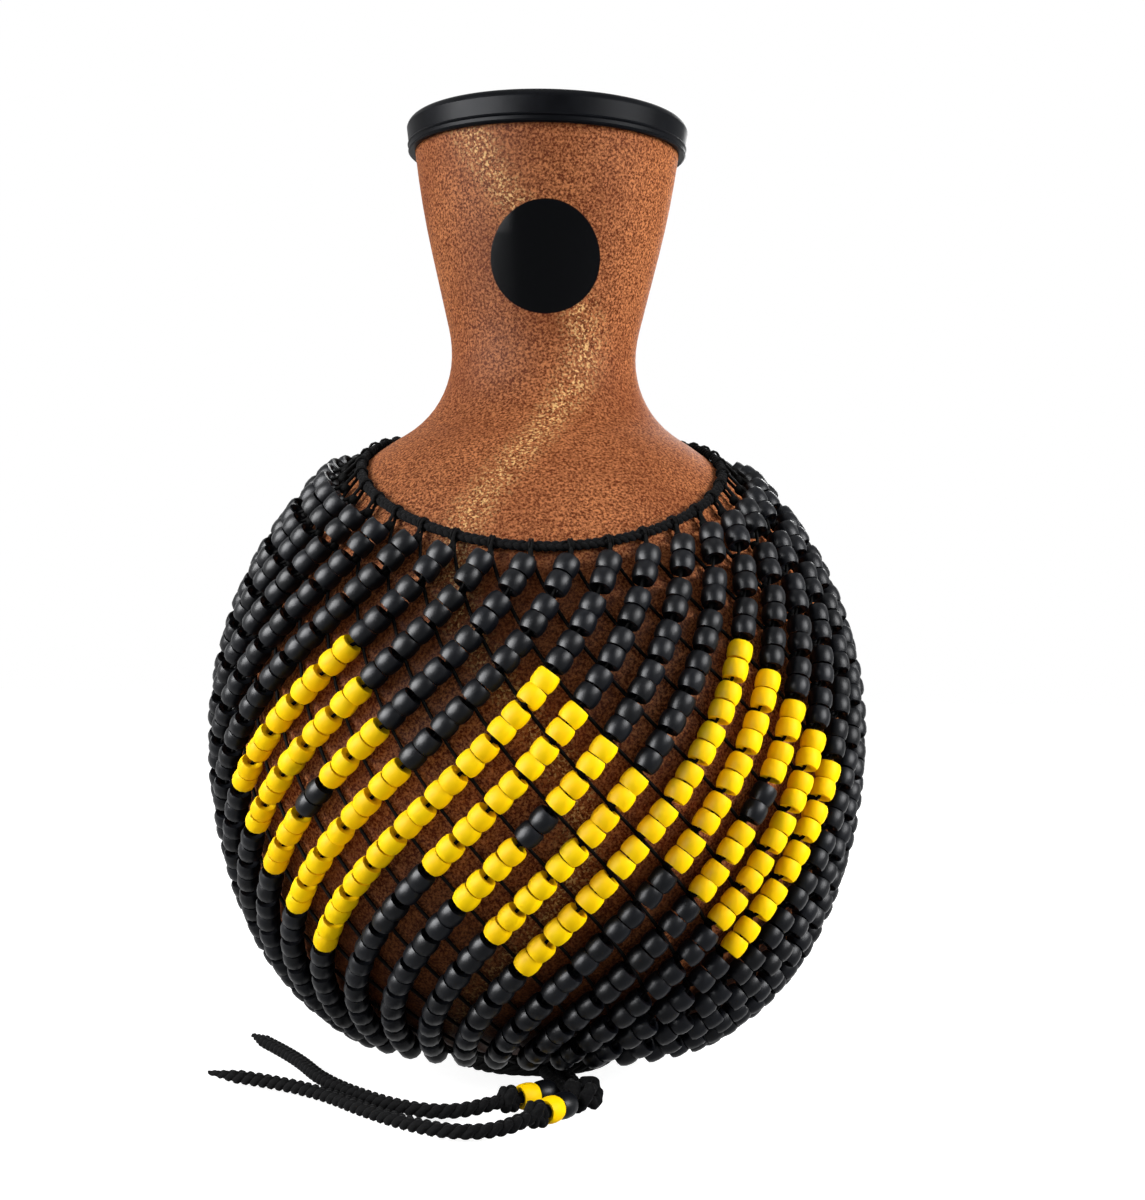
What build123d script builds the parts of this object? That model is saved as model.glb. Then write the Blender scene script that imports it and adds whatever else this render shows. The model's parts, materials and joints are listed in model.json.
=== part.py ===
from build123d import *
import os
from math import acos, atan2, cos, degrees, pi, radians, sin, tan

# A shekere: a hollow fibreglass gourd in a loose net of beads that turns round it. Millimetres, +Z up.
# The origin is on the surface that it stands on, under the middle of the gourd, with the front at -Y.

# Gourd shell
BODY_RADIUS = 110.4
BODY_MID_HEIGHT = 121.0
SHOULDER_ARC = 126.0
WAIST_RADIUS = 33.9
WAIST_HEIGHT = 258.0
NECK_ARC = 45.0
NECK_FLARE = 13.5
NECK_CONE = 29.0
MOUTH_RADIUS = 48.4
MOUTH_HEIGHT = 342.0
LIP_LENGTH = 10.0
FOOT_RADIUS = 23.0
FOOT_ARC = 81.3
WALL = 3.0

# Gathered hem that the gourd stands on
HEM_RADIUS = 27.0
HEM_THICK = 8.9
HEM_FLAT = 0.5
HEM_INNER_TURN = 25.0
SEAT_GAP = 0.3

# Rubber edging on the mouth
EDGING_WALL = 2.0
EDGING_CROWN = 2.2
EDGING_DEPTH = 9.0
EDGING_GAP = 0.1
RIB_HEIGHT = 1.1
RIB_REACH = 0.45
RIB_COUNT = 2

# Collar cord round the shoulder
COLLAR_CORD = 3.2
COLLAR_BACK = 127.0
COLLAR_DROOP = 60.5
DROOP_POWER = 3
COLLAR_STEPS = 48
COLLAR_SIDES = 8
COLLAR_OPEN = 4.0

# Net: columns round the gourd and rows of beaded legs from the collar to the hem
COLUMNS = 40
ROWS = 16
NET_START = 5.0
NET_BARE_END = 41.5
ROW_TOP_EASE = 0.0375
ROW_TOP_POWER = 13
ROW_END_EASE = 0.0475
ROW_END_POWER = 8
NET_RISE = 0.9
NET_RISE_POWER = 1.6
NET_PINCH = 0.15
NET_SPREAD = 1.0
FIRST_COLUMN = 0.75
HALF_LEG = 0.25
TWINE = 0.7
TWINE_SIDES = 3
TWINE_GAP = 0.6
BARE_LIFT = 0.6
PLAIN_CLIMB = 45.0
BEADED_CLIMB = 22.5

# Beads, two on every leg that runs down to the left
BEAD_OUTER = 8.0
BEAD_BORE = 2.4
BEAD_LENGTH = 5.9
BEAD_PLAY = 0.4
BEAD_LIFT = 1.45

# Chain of open lozenges in yellow beads across the front: the columns and the row of their middles, and their rings
LOZENGE_COLUMNS = (-4, 0, 4)
LOZENGE_ROW = 7
LOZENGE_RINGS = (1, 2)

# Drawstring: two leads from the hem to the knot, then two loose tails
DRAWSTRING = 5.2
LEAD_SPACING = 5.8
LEAD_END = 61.8
KNOT_CENTRE = (17.0, -71.0)
KNOT_WIDTH = 15.0
KNOT_DEPTH = 22.0
KNOT_HEIGHT = 10.6
KNOT_LEAVE = 1.6
TAIL_BEAD_OUTER = 8.8
TAIL_BEAD_LENGTH = 6.6
TAIL_FIT = 0.2
STOP_KNOT_OUTER = 9.4
STOP_KNOT_LENGTH = 8.0
PIECE_GAP = 0.3
TIP_LENGTH = 6.0
TIP_WIDTH = 2.6
BEND_SHARE = 0.45

# Routes of the two tails after their stop knots, chosen by eye: x, y and height of the cord's middle
TAIL_LEFT_START = (7.8, -66.4, 4.9)
TAIL_LEFT_HEADING = (-0.8, -0.6)
TAIL_LEFT_ROUTE = [
    (-21.0, -85.6, 3.2),
    (-31.0, -86.5, 2.8),
    (-42.0, -81.5, 2.8),
    (-53.0, -71.5, 2.8),
    (-64.0, -58.0, 2.8),
    (-74.0, -42.0, 2.8),
    (-82.0, -22.0, 2.8),
    (-92.0, -3.0, 2.8),
    (-103.0, 16.0, 2.8),
]
TAIL_RIGHT_START = (13.1, -80.9, 4.9)
TAIL_RIGHT_HEADING = (-0.6, -0.8)
TAIL_RIGHT_ROUTE = [
    (-8.5, -107.0, 3.2),
    (-19.0, -110.5, 2.8),
    (-31.0, -107.0, 2.8),
    (-43.0, -97.0, 2.8),
    (-55.0, -84.0, 2.8),
    (-66.0, -69.0, 2.8),
    (-78.0, -57.5, 2.8),
    (-92.0, -48.0, 2.8),
    (-107.0, -40.5, 2.8),
]


# Shape of the gourd's outside, worked out from the driving sizes

BASE_HEIGHT = HEM_THICK + SEAT_GAP - HEM_FLAT
BELLY_DROP = BODY_MID_HEIGHT - BASE_HEIGHT
BELLY_REACH = BODY_RADIUS - FOOT_RADIUS
SIDE_ARC = (BELLY_REACH**2 + BELLY_DROP**2 - 2 * BELLY_DROP * FOOT_ARC) / (2 * (BELLY_REACH - FOOT_ARC))
SIDE_ANGLE = atan2(BELLY_DROP - FOOT_ARC, FOOT_RADIUS - BODY_RADIUS + SIDE_ARC)
SHOULDER_STEP = BODY_RADIUS - WAIST_RADIUS
SHOULDER_RISE = WAIST_HEIGHT - BODY_MID_HEIGHT
ARC_SUM = (SHOULDER_STEP**2 + SHOULDER_RISE**2) / (2 * SHOULDER_STEP)
WAIST_ARC = ARC_SUM - SHOULDER_ARC
SHOULDER_ANGLE = atan2(SHOULDER_RISE, ARC_SUM - SHOULDER_STEP)
FOOT_DISTANCE = -(SIDE_ARC * SIDE_ANGLE + FOOT_ARC * (pi / 2 - SIDE_ANGLE))


def belly_point(distance, lift):
    """Radius and height at a distance along the gourd's outside, up from its middle, lifted off the wall."""
    if distance >= SHOULDER_ARC * SHOULDER_ANGLE:
        turn = SHOULDER_ANGLE - (distance - SHOULDER_ARC * SHOULDER_ANGLE) / WAIST_ARC
        middle = WAIST_RADIUS + WAIST_ARC
        return middle - (WAIST_ARC - lift) * cos(turn), WAIST_HEIGHT - (WAIST_ARC - lift) * sin(turn)
    if distance >= 0:
        turn = distance / SHOULDER_ARC
        reach = SHOULDER_ARC + lift
        return BODY_RADIUS - SHOULDER_ARC + reach * cos(turn), BODY_MID_HEIGHT + reach * sin(turn)
    turn = -distance / SIDE_ARC
    if turn <= SIDE_ANGLE:
        reach = SIDE_ARC + lift
        return BODY_RADIUS - SIDE_ARC + reach * cos(turn), BODY_MID_HEIGHT - reach * sin(turn)
    turn = SIDE_ANGLE + (-distance - SIDE_ARC * SIDE_ANGLE) / FOOT_ARC
    reach = FOOT_ARC + lift
    return FOOT_RADIUS + reach * cos(turn), BASE_HEIGHT + FOOT_ARC - reach * sin(turn)


def on_gourd(angle, distance, lift):
    """Point on the net, with the angle in radians to the right of the front."""
    radius, height = belly_point(distance, lift)
    return Vector(radius * sin(angle), -radius * cos(angle), height)


def lip_direction():
    """Unit vector along the straight lip, from the end of the neck's outer curve."""
    start = neck_end()
    chord = atan2(MOUTH_RADIUS - start[0], MOUTH_HEIGHT - LIP_LENGTH - start[1])
    lean = 2 * chord - radians(NECK_FLARE)
    return sin(lean), cos(lean)


def neck_end():
    """Where the neck's straight cone ends and its upper curve begins."""
    turn = radians(NECK_FLARE)
    radius = WAIST_RADIUS + NECK_ARC * (1 - cos(turn)) + NECK_CONE * sin(turn)
    return radius, WAIST_HEIGHT + NECK_ARC * sin(turn) + NECK_CONE * cos(turn)


def gourd_outline(inset):
    """Edges of the gourd's half outline from the middle of its foot up to the lip, moved inwards by inset."""
    foot_arc = FOOT_ARC - inset
    side_arc = SIDE_ARC - inset
    shoulder_arc = SHOULDER_ARC - inset
    waist_arc = WAIST_ARC + inset
    neck_arc = NECK_ARC + inset
    foot_turn = 90 - degrees(SIDE_ANGLE)
    foot = Line((0, BASE_HEIGHT + inset), (FOOT_RADIUS, BASE_HEIGHT + inset))
    corner = JernArc(foot @ 1, foot % 1, foot_arc, foot_turn)
    side = JernArc(corner @ 1, corner % 1, side_arc, degrees(SIDE_ANGLE))
    shoulder = JernArc(side @ 1, side % 1, shoulder_arc, degrees(SHOULDER_ANGLE))
    waist = JernArc(shoulder @ 1, shoulder % 1, waist_arc, -degrees(SHOULDER_ANGLE))
    flare = JernArc(waist @ 1, waist % 1, neck_arc, -NECK_FLARE)
    cone = Line(flare @ 1, flare @ 1 + (flare % 1) * NECK_CONE)
    lean = lip_direction()
    lip_start = Vector(MOUTH_RADIUS - inset * lean[1], MOUTH_HEIGHT - LIP_LENGTH + inset * lean[0])
    upper = TangentArc(cone @ 1, lip_start, tangent=cone % 1)
    lip = Line(lip_start, lip_start + Vector(*lean) * LIP_LENGTH)
    return [foot, corner, side, shoulder, waist, flare, cone, upper, lip]


def turned(outline):
    """Solid of revolution about Z from a closed outline drawn with x as radius and y as height."""
    face = make_face(outline)
    return revolve(Plane.XZ * face, Axis.Z, 360)


def make_shell():
    """Hollow gourd with an open mouth."""
    outer = gourd_outline(0)
    inner = gourd_outline(WALL)
    axis = Line(outer[0] @ 0, inner[0] @ 0)
    mouth = Line(outer[-1] @ 1, inner[-1] @ 1)
    return turned(outer + inner + [axis, mouth])


def make_edging():
    """Rubber channel pushed over the lip, with ribs near its outer lower edge."""
    lean = Vector(*lip_direction())
    out = Vector(lean.Y, -lean.X)
    tip = Vector(MOUTH_RADIUS, MOUTH_HEIGHT - LIP_LENGTH) + lean * LIP_LENGTH

    def place(across, along):
        return tip + out * across + lean * along

    face_out = EDGING_GAP
    face_in = -WALL - EDGING_GAP
    outer = face_out + EDGING_WALL
    inner = face_in - EDGING_WALL
    low = -EDGING_DEPTH
    middle = (outer + inner) / 2
    ribs = []
    for number in range(RIB_COUNT):
        start = low + 2 * number * RIB_HEIGHT
        ribs.append(place(outer, start))
        ribs.append(place(outer + RIB_REACH, start + RIB_HEIGHT / 2))
        ribs.append(place(outer, start + RIB_HEIGHT))
    rise = Polyline(*ribs, place(outer, 0))
    crown = ThreePointArc(place(outer, 0), place(middle, EDGING_CROWN + SEAT_GAP), place(inner, 0))
    rest = Polyline(
        place(inner, 0),
        place(inner, low),
        place(face_in, low),
        place(face_in, SEAT_GAP),
        place(face_out, SEAT_GAP),
        place(face_out, low),
        place(outer, low),
    )
    return turned([rise, crown, rest])


def make_hem():
    """Roll of gathered net under the foot, flat where it stands and on its inner side."""
    radius = HEM_THICK / 2
    height = radius - HEM_FLAT
    cut = Vector(HEM_RADIUS + radius * sin(acos(height / radius)), 0)
    turn = radians(HEM_INNER_TURN)
    inner = Vector(HEM_RADIUS - radius * cos(turn), height + radius * sin(turn))
    roll = ThreePointArc(cut, (HEM_RADIUS, height + radius), inner)
    return turned([roll, Polyline(inner, (inner.X, 0), cut)])


# Cords and twine


def tube(points, diameter, sides):
    """Slim strand with straight sides through a list of points, mitred at each."""
    path = Polyline(*points)
    section = Plane(origin=path @ 0, z_dir=path % 0) * RegularPolygon(diameter / 2, sides)
    return sweep(section, path, transition=Transition.RIGHT)


def collar_distance(angle):
    """How far up the gourd the collar lies: high at the back and drooping at the front."""
    return COLLAR_BACK - COLLAR_DROOP * ((1 + cos(angle)) / 2) ** DROOP_POWER


def make_collar():
    """Cord round the shoulder, open for its knot at the back."""
    lift = COLLAR_CORD / 2 + SEAT_GAP
    reach = pi - radians(COLLAR_OPEN)
    points = []
    for step in range(COLLAR_STEPS + 1):
        angle = reach * (2 * step / COLLAR_STEPS - 1)
        points.append(on_gourd(angle, collar_distance(angle), lift))
    return tube(points, COLLAR_CORD, COLLAR_SIDES)


def make_collar_knot():
    """Knot that joins the collar's two ends at the back."""
    lift = COLLAR_CORD / 2 + SEAT_GAP
    angle = pi - radians(COLLAR_OPEN)
    end = on_gourd(angle, collar_distance(angle), lift)
    width = 2 * (abs(end.X) - PIECE_GAP)
    ball = scale(Sphere(COLLAR_CORD / 2), (width / COLLAR_CORD, 1, 1))
    return Pos(0, end.Y, end.Z) * ball


# Net

NET_TOP = COLLAR_BACK - COLLAR_DROOP - NET_START
NET_LENGTH = NET_TOP - FOOT_DISTANCE - NET_BARE_END
BEAD_MIDDLE = BEAD_LIFT + BEAD_OUTER / 2
TWINE_MIDDLE = TWINE_GAP + TWINE / 2


def row_share(row):
    """Share of the net's length at a row of knots, with longer rows at both ends."""
    part = row / ROWS
    even = 1 - ROW_TOP_EASE - ROW_END_EASE
    top = ROW_TOP_EASE * (1 - (1 - part) ** ROW_TOP_POWER)
    return even * part + top + ROW_END_EASE * part**ROW_END_POWER


def knot_point(column, row, lift):
    """Place of a knot of the net, by its column and row, lifted off the gourd."""
    share = row_share(row)
    turn = 2 * pi * column / COLUMNS
    spread = NET_SPREAD * share**2 * (1 - share) - NET_PINCH * (1 - share) ** 2
    angle = turn + spread * sin(turn)
    droop = 1 - ((1 + cos(angle)) / 2) ** DROOP_POWER
    rise = NET_RISE * COLLAR_DROOP * droop * (1 - share) ** NET_RISE_POWER
    return on_gourd(angle, NET_TOP - NET_LENGTH * share + rise, lift)


def first_column(number):
    """Column of a strand's knot in the first row."""
    return number + FIRST_COLUMN


def end_at_collar(point, lift):
    """Where a strand meets the collar's lower side, straight above a knot."""
    angle = atan2(point.X, -point.Y)
    return on_gourd(angle, collar_distance(angle) - COLLAR_CORD / 2 - SEAT_GAP, lift)


def end_at_hem(point, climb):
    """Where a strand meets the hem, at a climb in degrees up its outer side."""
    angle = atan2(point.X, -point.Y)
    reach = (HEM_THICK + TWINE) / 2 + SEAT_GAP
    radius = HEM_RADIUS + reach * cos(radians(climb))
    height = HEM_THICK / 2 - HEM_FLAT + reach * sin(radians(climb))
    return Vector(radius * sin(angle), -radius * cos(angle), height)


def plain_strand(number):
    """Bare twine that runs down to the right, close to the gourd."""
    column = first_column(number)
    knots = [knot_point(column + row / 2, row, TWINE_MIDDLE) for row in range(ROWS + 1)]
    top = end_at_collar(knots[0], COLLAR_CORD / 2 - TWINE / 2)
    last = knots[-1]
    angle = atan2(last.X, -last.Y)
    hem = end_at_hem(last, PLAIN_CLIMB)
    bare = on_gourd(angle, FOOT_DISTANCE + NET_BARE_END / 2, TWINE_MIDDLE + BARE_LIFT)
    return tube([top] + knots + [bare, hem], TWINE, TWINE_SIDES)


def beaded_strand(number):
    """Twine that runs down to the left through the beads."""
    column = first_column(number)
    knots = [knot_point(column - row / 2, row, BEAD_MIDDLE) for row in range(ROWS + 1)]
    top = end_at_collar(knots[0], COLLAR_CORD / 2 + TWINE + SEAT_GAP)
    return tube([top] + knots + [end_at_hem(knots[-1], BEADED_CLIMB)], TWINE, TWINE_SIDES)


def is_yellow(row, column):
    """Whether a leg of the net carries yellow beads, as a part of a lozenge."""
    offset = (column + COLUMNS / 2) % COLUMNS - COLUMNS / 2
    rings = [(abs(row - LOZENGE_ROW) + abs(2 * (offset - middle))) / 2 for middle in LOZENGE_COLUMNS]
    return any(round(ring) in LOZENGE_RINGS for ring in rings)


def make_bead(outer, bore, length):
    """Straight bored bead, with its middle at the origin and its bore along Z."""
    return Cylinder(outer / 2, length) - Cylinder(bore / 2, length)


def leg_beads(bead, row, column):
    """Two beads side by side at the middle of a leg."""
    upper = knot_point(column + HALF_LEG, row, BEAD_MIDDLE)
    lower = knot_point(column - HALF_LEG, row + 1, BEAD_MIDDLE)
    along = (lower - upper).normalized()
    middle = (upper + lower) / 2
    apart = (BEAD_LENGTH + BEAD_PLAY) / 2
    across = along.cross(Vector(middle.X, middle.Y, 0))
    places = [middle - along * apart, middle + along * apart]
    return [Plane(origin=place, x_dir=across, z_dir=along) * bead for place in places]


def make_bead_rows():
    """Rows of beads by name, each row split by colour."""
    bead = make_bead(BEAD_OUTER, BEAD_BORE, BEAD_LENGTH).solid()
    rows = {}
    for row in range(ROWS):
        shift = 0.5 if row % 2 == 0 else 0.0
        for number in range(COLUMNS):
            column = number + shift
            colour = "yellow" if is_yellow(row, column) else "black"
            name = f"bead_row_{row + 1:02d}_{colour}"
            rows.setdefault(name, []).extend(leg_beads(bead, row, column))
    return rows


# Drawstring


def make_knot():
    """Drawstring knot lying in front of the foot."""
    ball = scale(Sphere(KNOT_HEIGHT / 2), (KNOT_WIDTH / KNOT_HEIGHT, KNOT_DEPTH / KNOT_HEIGHT, 1))
    return Pos(*KNOT_CENTRE, KNOT_HEIGHT / 2) * ball


def make_leads():
    """Two cords from the hem out to the knot, lying on the surface that the gourd stands on."""
    angle = atan2(KNOT_CENTRE[0], -KNOT_CENTRE[1])
    out = Vector(sin(angle), -cos(angle), 0)
    side = Vector(cos(angle), sin(angle), 0)
    height = DRAWSTRING / 2 + SEAT_GAP
    hem_reach = (HEM_THICK / 2) * sin(acos((HEM_THICK / 2 - HEM_FLAT - height) / (HEM_THICK / 2)))
    start = HEM_RADIUS + hem_reach + SEAT_GAP
    leads = []
    for offset in (-LEAD_SPACING / 2, LEAD_SPACING / 2):
        origin = out * start + side * offset + Vector(0, 0, height)
        rod = Cylinder(DRAWSTRING / 2, LEAD_END - start, align=(Align.CENTER, Align.CENTER, Align.MIN))
        leads.append(Plane(origin=origin, x_dir=side, z_dir=out) * rod)
    return leads


class Tail:
    """One loose end of the drawstring, with its beads and its stop knot."""

    def __init__(self, start, heading, route):
        self.start = Vector(*start)
        self.heading = Vector(*heading, 0).normalized()
        first = KNOT_LEAVE + TAIL_BEAD_LENGTH / 2
        second = first + TAIL_BEAD_LENGTH + PIECE_GAP
        self.black_at = first
        self.yellow_at = second
        self.stop_at = second + TAIL_BEAD_LENGTH / 2 + PIECE_GAP + STOP_KNOT_LENGTH / 2
        straight = self.start + self.heading * (self.stop_at + STOP_KNOT_LENGTH / 2)
        self.points = [self.start, straight] + [Vector(*point) for point in route]

    def place(self, piece, distance):
        """Piece threaded on the straight first run, at a distance from the knot."""
        middle = self.start + self.heading * distance
        return Plane(origin=middle, x_dir=Vector(0, 0, 1), z_dir=self.heading) * piece

    def radii(self):
        """Largest bend that each corner of the route has room for."""
        found = []
        for before, corner, after in zip(self.points, self.points[1:], self.points[2:]):
            turn = radians((corner - before).get_angle(after - corner))
            run = min((corner - before).length, (after - corner).length)
            found.append(BEND_SHARE * run / tan(turn / 2))
        return found

    def cord(self):
        """Round cord along the route, narrowed at its sealed tip."""
        path = FilletPolyline(*self.points, radius=self.radii())
        section = Plane(origin=path @ 0, z_dir=path % 0) * Circle(DRAWSTRING / 2)
        rope = sweep(section, path)
        end = Plane(origin=path @ 1, z_dir=path % 1)
        tip = Cone(DRAWSTRING / 2, TIP_WIDTH / 2, TIP_LENGTH, align=(Align.CENTER, Align.CENTER, Align.MIN))
        return rope + end * tip

    def stop_knot(self):
        """Lumpy knot that keeps the beads on."""
        ball = scale(Sphere(STOP_KNOT_OUTER / 2), (1, 1, STOP_KNOT_LENGTH / STOP_KNOT_OUTER))
        bore = Cylinder(DRAWSTRING / 2 + TAIL_FIT, STOP_KNOT_LENGTH)
        return self.place(ball - bore, self.stop_at)


def save(name, solids):
    """Write one node."""
    pieces = solids if isinstance(solids, list) else [solids]
    body = pieces[0] if len(pieces) == 1 else Compound(pieces)
    export_step(body, f"parts/{name}.step")


def main():
    os.makedirs("parts", exist_ok=True)
    save("shell", make_shell())
    save("mouth_edging", make_edging())
    save("collar_cord", make_collar())
    save("collar_knot", make_collar_knot())
    save("plain_twine", [plain_strand(number) for number in range(COLUMNS)])
    save("beaded_twine", [beaded_strand(number) for number in range(COLUMNS)])
    for name, beads in make_bead_rows().items():
        save(name, beads)
    save("hem_roll", make_hem())
    save("drawstring_leads", make_leads())
    save("drawstring_knot", make_knot())
    tail_bead = make_bead(TAIL_BEAD_OUTER, DRAWSTRING + 2 * TAIL_FIT, TAIL_BEAD_LENGTH)
    for side, tail in (
        ("left", Tail(TAIL_LEFT_START, TAIL_LEFT_HEADING, TAIL_LEFT_ROUTE)),
        ("right", Tail(TAIL_RIGHT_START, TAIL_RIGHT_HEADING, TAIL_RIGHT_ROUTE)),
    ):
        save(f"tail_{side}", tail.cord())
        save(f"tail_{side}_black_bead", tail.place(tail_bead, tail.black_at))
        save(f"tail_{side}_yellow_bead", tail.place(tail_bead, tail.yellow_at))
        save(f"tail_{side}_stop_knot", tail.stop_knot())


main()
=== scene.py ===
"""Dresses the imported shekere, its gourd, bead net, collar and drawstring, and sets up a plain studio."""

import json
import logging
from dataclasses import dataclass, field
from enum import Enum
from math import atan2, cos, pi, radians, sin
from random import Random
from typing import Any, Callable

import bmesh
import bpy
import numpy as np
from mathutils import Matrix, Vector

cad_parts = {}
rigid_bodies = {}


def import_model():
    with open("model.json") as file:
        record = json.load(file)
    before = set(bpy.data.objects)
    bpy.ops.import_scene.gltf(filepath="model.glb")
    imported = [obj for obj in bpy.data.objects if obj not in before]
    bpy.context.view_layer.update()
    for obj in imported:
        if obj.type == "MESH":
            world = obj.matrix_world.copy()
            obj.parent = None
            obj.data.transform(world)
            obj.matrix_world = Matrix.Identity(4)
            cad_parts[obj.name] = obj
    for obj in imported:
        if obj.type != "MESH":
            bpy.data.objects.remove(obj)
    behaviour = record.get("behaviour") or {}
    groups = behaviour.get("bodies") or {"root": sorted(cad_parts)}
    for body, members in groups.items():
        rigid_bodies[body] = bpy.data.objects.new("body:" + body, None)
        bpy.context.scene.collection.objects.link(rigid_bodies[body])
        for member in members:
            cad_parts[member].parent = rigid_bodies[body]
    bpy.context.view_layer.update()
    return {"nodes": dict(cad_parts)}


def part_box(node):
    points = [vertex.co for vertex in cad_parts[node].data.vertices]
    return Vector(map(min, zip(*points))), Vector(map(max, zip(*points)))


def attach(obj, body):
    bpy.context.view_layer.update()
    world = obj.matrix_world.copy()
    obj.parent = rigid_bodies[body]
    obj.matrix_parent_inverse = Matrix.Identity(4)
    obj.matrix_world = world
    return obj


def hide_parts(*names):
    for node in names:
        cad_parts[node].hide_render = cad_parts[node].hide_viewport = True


for stray in list(bpy.data.objects):
    bpy.data.objects.remove(stray)
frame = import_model()

logging.basicConfig(level=logging.INFO, format="%(message)s")
log = logging.getLogger("shekere")

MM = 0.001
UP = Vector((0.0, 0.0, 1.0))
SEED = 7
TINT = "tint"


class Body(Enum):
    """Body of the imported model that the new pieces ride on. The gourd's own nodes ride already."""

    NET = "net"


class Colour(Enum):
    """Colours of the beads, as the nodes are named for them."""

    BLACK = "black"
    YELLOW = "yellow"


def linear(code: str) -> tuple[float, float, float, float]:
    """Turn an sRGB hex colour to linear RGBA.

    Args:
        code: colour such as "#a0522d".

    Returns:
        Linear red, green, blue and an alpha of 1.
    """
    shares = [int(code[start : start + 2], 16) / 255 for start in (1, 3, 5)]
    red, green, blue = (s / 12.92 if s <= 0.04045 else ((s + 0.055) / 1.055) ** 2.4 for s in shares)
    return red, green, blue, 1.0


def per_mm(size: float) -> float:
    """Texture scale at which one feature of a pattern is this many millimetres across."""
    return 1 / (size * MM)


def add(tree: bpy.types.NodeTree, kind: str, inputs: dict[Any, Any] | None = None, **settings: Any) -> Any:
    """Add a node, with its settings, values and links.

    Args:
        tree: node tree of a material or a world.
        kind: Blender's name of the node type.
        inputs: value or output socket for each named or numbered input.
        settings: properties of the node itself.

    Returns:
        The new node.
    """
    node = tree.nodes.new(kind)
    for name, value in settings.items():
        setattr(node, name, value)
    for name, value in (inputs or {}).items():
        if isinstance(value, bpy.types.NodeSocket):
            tree.links.new(value, node.inputs[name])
        else:
            node.inputs[name].default_value = value
    return node


@dataclass(frozen=True)
class Finish:
    """A real material, named for what it is made of and how its surface was made."""

    name: str
    colour: str
    roughness: float
    ior: float
    specular: float

    def material(self) -> bpy.types.Material:
        """Make the material once, and give it back each time.

        Returns:
            The material, with its nodes.
        """
        found = bpy.data.materials.get(self.name)
        if found:
            return found
        material = bpy.data.materials.new(self.name)
        material.use_nodes = True
        tree = material.node_tree
        shader = tree.nodes["Principled BSDF"]
        shader.inputs["IOR"].default_value = self.ior
        shader.inputs["Roughness"].default_value = self.roughness
        shader.inputs["Specular IOR Level"].default_value = self.specular
        shader.inputs["Base Color"].default_value = linear(self.colour)
        material.diffuse_color = linear(self.colour)
        self.dress(tree, shader)
        return material

    def dress(self, tree: bpy.types.NodeTree, shader: Any) -> None:
        """Add this finish's own patterns.

        Args:
            tree: the material's nodes.
            shader: its Principled shader.
        """
        raise NotImplementedError

    def link(self, tree: bpy.types.NodeTree, shader: Any, **sockets: Any) -> None:
        """Link output sockets to the shader's inputs, named with underscores for spaces."""
        for name, socket in sockets.items():
            tree.links.new(socket, shader.inputs[name.replace("_", " ")])


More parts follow.
